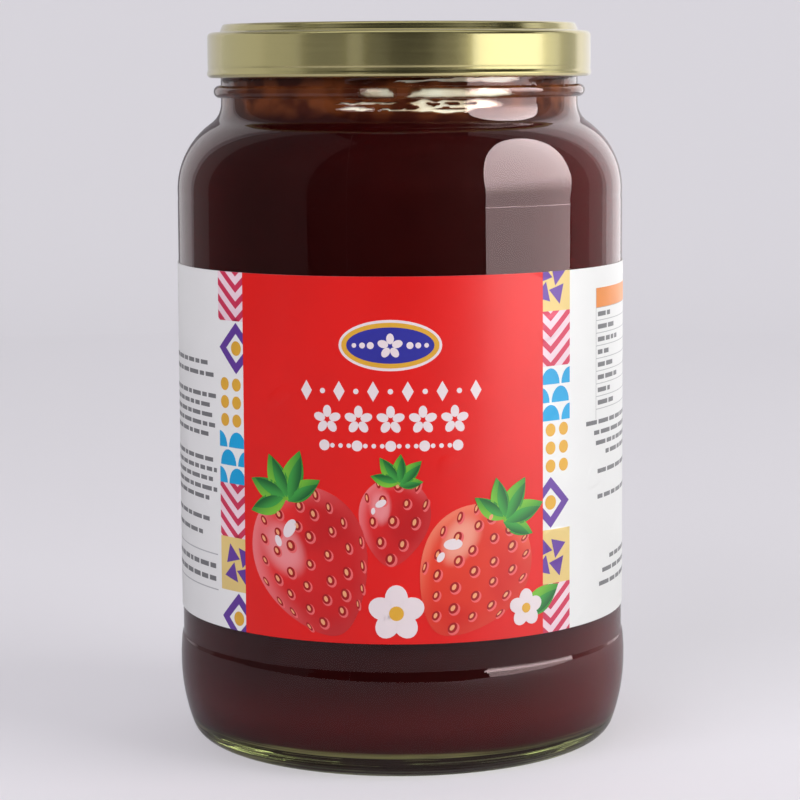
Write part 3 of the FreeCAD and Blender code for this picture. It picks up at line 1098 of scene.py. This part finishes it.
def draw_pip(u, v, size, thin, lean):
    """The lip shows at the lower right of the pit. Thin is how far the berry turns away."""
    across = size * thin
    shines.add(oval(u + 0.30 * size, v - 0.30 * size, 1.42 * across, 1.60 * size, lean, 16))
    pits.add(oval(u, v, 1.15 * across, 1.38 * size, lean, 16))
    pips.add(oval(u - 0.08 * size, v + 0.05 * size, 0.52 * across, 0.80 * size, lean, 12))


draw_berry(0, 3)
draw_berry(1, 7)
draw_berry(2, 7)
shines.finish(shine_ink)
pits.finish(pit_ink)
pips.finish(pip_ink)


# %% [markdown]
# ## Leaves, blossoms and gleams
# Each berry wears a star of pointed leaves, light green along one side and dark along the other,
# drawn as two layers: a broad leaf and a narrower dark vein side on top of it.

# %% Leaves
def leaf_ink(name, light, dark):
    finish = Finish(name, Roughness=0.34)
    across, up = finish.attribute("own_across"), finish.attribute("own_up")
    shade = (up * 0.6 - across * 0.45).ramp(-0.7, 0.7)
    finish.colour(finish.blend(shade, dark, light))
    finish.bump(finish.noise(TOOTH_SCALE, 2.0), PICTURE_TOOTH_DEPTH)
    return finish


light_leaf = leaf_ink("light_leaf_ink", (0.19, 0.50, 0.035), (0.03, 0.26, 0.03))
dark_leaf = leaf_ink("dark_leaf_ink", (0.045, 0.33, 0.05), (0.006, 0.10, 0.022))
leaves_light = Print("print_leaves_light", 10)
leaves_dark = Print("print_leaves_dark", 11)


def leaf(u, v, length, width, turn):
    """A leaf that starts at u, v and points along turn."""
    stalk = Vector((u, v))
    middle = towards(turn) * length / 2
    leaves_light.add(petal(*(stalk + middle), length / 2, width / 2, turn))
    vein_side = stalk + middle * 0.95 - towards(turn + 90) * width * 0.13
    leaves_dark.add(petal(*vein_side, length * 0.44, width * 0.27, turn))


def crown(number, spread, length):
    """Leaves fanned round the stalk end of a berry."""
    u, v, _, half_length, turn, _ = BERRIES[number]
    stalk = Vector((u, v)) + towards(turn + 90) * half_length * 0.86
    for step in range(-2, 3):
        grown = length * (1 - 0.08 * abs(step)) * chance.uniform(0.9, 1.1)
        leaf(*stalk, grown, grown * 0.46, turn + 90 + step * spread)


crown(0, 40, 8.5)
crown(1, 42, 14)
crown(2, 42, 13)
leaf(33, 6, 13, 6.5, 30)
leaves_light.finish(light_leaf)
leaves_dark.finish(dark_leaf)

# %% Blossoms and gleams
flower_white = Print("print_flower_petals", 12)
flower_heart = Print("print_flower_hearts", 13)
for u, v, radius in ((-1.5, 8.0, 7.0), (33.5, 7.5, 4.8)):
    blossom(flower_white, u, v, radius, 0.55, 0.5, 0.42, 20)
    flower_heart.add(dot(u, v, radius * 0.27, 20))
flower_white.finish(white_ink)
flower_heart.finish(yellow_ink)
gleams = Print("print_berry_gleams", 10)
for u, v, half_width, half_length, turn, _ in BERRIES:
    size = half_width / 19
    gleam_u, gleam_v = u - 0.30 * half_width, v + 0.42 * half_length
    gleams.add(oval(gleam_u, gleam_v, 2.6 * size, 1.5 * size, turn + 35, 24))
    gleams.add(oval(gleam_u - 3.4 * size, gleam_v - 3.4 * size, 0.9 * size, 1.5 * size, turn, 16))
gleams.finish(white_ink)

# %% [markdown]
# ## Side panels
# To the right and left of the bands the paper stays white, with small grey matter: a table with
# an orange head, and paragraphs. Words are only short bars of uneven length, set in lines.

# %% Side panels
grey_ink = printed("grey_ink", (0.16, 0.16, 0.165))
pale_grey_ink = printed("pale_grey_ink", (0.42, 0.42, 0.43))
orange_ink = printed("orange_ink", (0.80, 0.26, 0.045))
words = Print("print_small_matter", 1)
rules = Print("print_thin_rules", 1)
heads = Print("print_table_head", 1)


def word_line(low_u, high_u, level, height):
    """Short bars with gaps, like a line of print."""
    u = low_u
    while u < high_u - 1:
        length = min(chance.uniform(2.0, 6.5), high_u - u)
        words.add(box(u + length / 2, level, length / 2, height / 2))
        u += length + 0.9


# %% Table
TABLE_LOW = 61.0
TABLE_HIGH = 104.0
TABLE_HEAD = 85.8
TABLE_ROWS = 8
table_middle = (TABLE_LOW + TABLE_HIGH) / 2
table_half = (TABLE_HIGH - TABLE_LOW) / 2
heads.add(box(table_middle, TABLE_HEAD, table_half, 2.6))
for row in range(TABLE_ROWS + 1):
    level = TABLE_HEAD - 2.6 - row * 3.35
    rules.add(box(table_middle, level, table_half, 0.10))
    if row < TABLE_ROWS:
        word_line(TABLE_LOW + 1, TABLE_LOW + 9 + 3 * (row % 3), level - 1.7, 1.2)
        word_line(TABLE_HIGH - 9, TABLE_HIGH - 2, level - 1.7, 1.2)
rules.add(box(TABLE_LOW, TABLE_HEAD - 14.7, 0.1, 17.3))

# %% Paragraphs
RIGHT_LINES = [
    # level, start
    (53.0, 56), (50.2, 60), (47.4, 61), (44.6, 67), (39.8, 62), (33.0, 62), (16.0, 70),
    (12.8, 65), (9.4, 63),
]
LEFT_LINES = [
    # level, end
    (69.5, -60), (66.5, -57), (61.0, -56), (58.4, -58), (55.8, -57), (53.2, -56), (50.6, -60),
    (44.0, -57), (41.4, -56), (38.8, -58), (36.2, -56), (33.6, -60), (28.0, -60), (24.0, -64),
]
for level, start in RIGHT_LINES:
    word_line(start, TABLE_HIGH, level, 1.15)
for level, end in LEFT_LINES:
    word_line(-TABLE_HIGH, end, level, 1.15)
for level in (9.6, 19.0):
    rules.add(box(-80, level, 24, 0.15))
for level in (15.8, 12.4):
    word_line(-103, -57, level, 1.3)
words.finish(grey_ink)
rules.finish(pale_grey_ink)
heads.finish(orange_ink)

# %% [markdown]
# ## Studio
# A pale floor runs on into a curved sweep behind the jar, so there is no line between them. What
# glass and metal mirror is set apart from what lights paper and jam, as in a packshot studio:
# white cards stand where a bright edge is wanted, and soft lamps do the rest.

# %% Sweep
SWEEP_HALF_ANGLE = 50
FLOOR_RADIUS = 1100
SWEEP_RADIUS = 1900


def studio_paper():
    """Matt paper. What the camera sees of it glows a little; mirrors see it brighter right."""
    finish = Finish(
        "pale_studio_paper", Base_Color=(0.50, 0.485, 0.51), Roughness=0.9,
        Specular_IOR_Level=0.1, Emission_Strength=1.0,
    )
    glow = finish.blend(finish.along("Y").ramp(0.1, 1.4), (0.32, 0.31, 0.33), (0.42, 0.41, 0.435))
    on_the_right = finish.along("X").ramp(0.03, 0.35)
    mirrored = finish.blend(on_the_right, (0, 0, 0), (0.35, 0.34, 0.35))
    by_camera = finish.node("ShaderNodeLightPath", output="Is Camera Ray")
    by_glass = finish.node("ShaderNodeLightPath", output="Is Transmission Ray")
    seen = by_camera.most(by_glass * 0.4)
    finish.feed(finish.shader, "Emission Color", finish.blend(seen, mirrored, glow))
    return finish


def stage_object(name, bm, finish):
    """A part of the studio."""
    bmesh.ops.remove_doubles(bm, verts=bm.verts, dist=0.01)
    made = smooth_object(name, bm, finish.material)
    return made


pale_paper = studio_paper()
sweep_pen = Outline(FLOOR_RADIUS, 0)
sweep_pen.arc(SWEEP_RADIUS, 800, 800, "left", 16)
sweep_pen.line(SWEEP_RADIUS, 2600, 4)
sweep_bm = sweep_pen.bm
start = Matrix.Rotation(math.radians(90 - SWEEP_HALF_ANGLE), 3, "Z")
bmesh.ops.rotate(sweep_bm, cent=(0, 0, 0), matrix=start, verts=sweep_bm.verts)
bmesh.ops.spin(
    sweep_bm, geom=sweep_bm.verts[:] + sweep_bm.edges[:], cent=(0, 0, 0), axis=(0, 0, 1),
    dvec=(0, 0, 0), angle=math.radians(2 * SWEEP_HALF_ANGLE), steps=24, use_merge=False,
    use_duplicate=False,
)
stage_object("studio_sweep", sweep_bm, pale_paper)
floor_bm = bmesh.new()
bmesh.ops.create_circle(floor_bm, cap_ends=True, radius=FLOOR_RADIUS, segments=240)
stage_object("studio_floor", floor_bm, pale_paper)


# %% Who sees which card
not_the_lid = bpy.data.collections.new("not_the_lid")
not_the_lid.objects.link(gold_lid)
not_the_lid.collection_objects[0].light_linking.link_state = "EXCLUDE"
lid_only = bpy.data.collections.new("lid_only")
lid_only.objects.link(gold_lid)


# %% Cards
CARD_CENTRE = 0.15


def card_finish(name, stops):
    """Pure glow that lets other rays through. Stops are heights in metres with the brightness."""
    finish = Finish(name)
    height = finish.along("Z")
    colour = (stops[0][1],) * 3
    for (below, _), (above, bright) in zip(stops, stops[1:]):
        colour = finish.blend(height.ramp(below, above), colour, (bright,) * 3)
    glow = finish.node("ShaderNodeEmission", {}, {"Color": colour})
    through = finish.node("ShaderNodeBsdfTransparent")
    both = finish.node("ShaderNodeAddShader", {}, {0: glow, 1: through})
    finish.send(both)
    return finish


def sheet(name, rows, stops, seen_by):
    """A curved glowing card that only mirrors see, 1 m from the jar's shoulder. Each row has
    the azimuth and elevation of its left and right end."""
    bm = bmesh.new()
    last = None
    for row in rows:
        ends = []
        for turn, lift in row:
            turn, lift = math.radians(turn), math.radians(lift)
            flat = math.cos(lift)
            height = CARD_CENTRE + math.sin(lift)
            place = Vector((flat * math.sin(turn), -flat * math.cos(turn), height))
            ends.append(bm.verts.new(place / MM))
        if last:
            bm.faces.new((last[0], last[1], ends[1], ends[0]))
        last = ends
    made = stage_object(name, bm, card_finish(name, stops))
    made.visible_camera = False
    made.visible_diffuse = False
    made.visible_shadow = False
    made.light_linking.receiver_collection = seen_by
    return made


def card(name, first, last, low, high, bright, seen_by):
    """A plain card between two azimuths and two elevations, with one brightness."""
    rows = [((first, low), (last, low)), ((first, high), (last, high))]
    sheet(name, rows, [(0, bright), (1, bright)], seen_by)


# %% [markdown]
# The key is a softbox on the right that leans back over the jar, so its image is an upright
# panel with a round top. It is brighter above, where its lamp sits. The lid must not see it.

# %% Key and side cards
KEY_ROWS = [
    ((42, -14), (94, -14)), ((42, -2), (94, -2)), ((42, 15), (97, 12)), ((45, 32), (101, 25)),
    ((60, 51), (109, 38)), ((94, 58), (113, 50)),
]
KEY_GLOW = [(0.13, 3.7), (0.44, 9.6), (0.8, 10.2)]
key = sheet("key_card", KEY_ROWS, KEY_GLOW, not_the_lid)
rounding = key.modifiers.new("rounding", "SUBSURF")
rounding.levels = 3
rounding.render_levels = 3
SIDE_CARDS = [
    # first and last azimuth, brightness
    (-158, -132, 0.55), (-132, -112, 0.24), (-112, -46, 0.10), (95, 110, 0.28),
    (110, 124, 0.50), (124, 138, 0.85), (138, 158, 1.2),
]
for first, last, bright in SIDE_CARDS:
    card(f"side_card_{first}", first, last, -8, 70, bright, not_the_lid)

# %% [markdown]
# The lid is a mirror too, but a duller one, and wants other light round it than the glass. Its
# own cards light nothing else, which light linking does.

# %% Cards of the lid
LID_CARDS = [
    # first and last azimuth, brightness
    (-165, -130, 0.28), (-130, -85, 0.46), (-85, -58, 0.38), (-58, -32, 0.16),
    (-30, -20, 0.36), (-18, -6, 0.11), (-6, 20, 0.04), (20, 33, 0.14), (33, 43, 0.24),
    (92, 108, 0.8), (108, 140, 0.40), (140, 195, 0.30),
]
OVERHEAD_ROWS = [((-50, 35), (50, 35)), ((-130, 35), (130, 35))]
OVERHEAD_GLOW = [(0, 0.26), (1, 0.26)]
card("lid_card_key", 43, 92, -6, 13, 1.6, lid_only)
card("lid_card_above", -70, 70, 33, 72, 0.5, lid_only)
sheet("lid_card_overhead", OVERHEAD_ROWS, OVERHEAD_GLOW, lid_only)
for first, last, bright in LID_CARDS:
    card(f"lid_card_{first}", first, last, -6, 32, bright, lid_only)


# %% [markdown]
# The lamps below light paper, jam and floor only. The right one is the strongest, so the
# label grows brighter to the right and the jar's soft shadow falls to the left.

# %% Lamps
def soft_lamp(name, turn, low, high, distance, width, radiance, colour=(1, 1, 1)):
    """An upright panel that faces the jar, between two heights in metres, at that azimuth."""
    lamp = bpy.data.lights.new(name, "AREA")
    lamp.shape = "RECTANGLE"
    lamp.size = width
    lamp.size_y = high - low
    lamp.energy = radiance * math.pi * width * (high - low)
    lamp.color = colour
    made = bpy.data.objects.new(name, lamp)
    bpy.context.scene.collection.objects.link(made)
    side = Vector((math.sin(math.radians(turn)), -math.cos(math.radians(turn)), 0))
    made.location = side * distance + Vector((0, 0, (low + high) / 2))
    made.rotation_mode = "QUATERNION"
    made.rotation_quaternion = side.to_track_quat("Z", "Y")
    made.visible_camera = False
    made.visible_glossy = False
    return made


soft_lamp("key_lamp", 66, 0.1, 1.2, 1.0, 0.8, 4.1)
soft_lamp("fill_lamp", -38, 0.2, 1.4, 1.3, 1.3, 3.8, (0.98, 0.96, 1.02))
overhead = soft_lamp("overhead_lamp", 0, 0, 1.4, 0, 1.8, 0.85)
overhead.location = (0, 0.3, 1.5)
overhead.rotation_quaternion = (1, 0, 0, 0)

# %% [markdown]
# The air is almost black to mirrors and paper. Only the camera sees it as pale backdrop, where
# neither floor nor sweep reaches.

# %% World
world = bpy.data.worlds.new("studio_air")
bpy.context.scene.world = world
world.use_nodes = True
world_nodes = world.node_tree.nodes
world_links = world.node_tree.links
air_light = world_nodes["Background"]
seen = world_nodes.new("ShaderNodeBackground")
seen.inputs["Color"].default_value = (0.68, 0.655, 0.695, 1)
air_light.inputs["Color"].default_value = (0.012, 0.012, 0.013, 1)
path = world_nodes.new("ShaderNodeLightPath")
either = world_nodes.new("ShaderNodeMixShader")
world_links.new(path.outputs["Is Camera Ray"], either.inputs[0])
world_links.new(air_light.outputs[0], either.inputs[1])
world_links.new(seen.outputs[0], either.inputs[2])
world_links.new(either.outputs[0], world_nodes["World Output"].inputs["Surface"])
bpy.context.scene.view_settings.view_transform = "Standard"
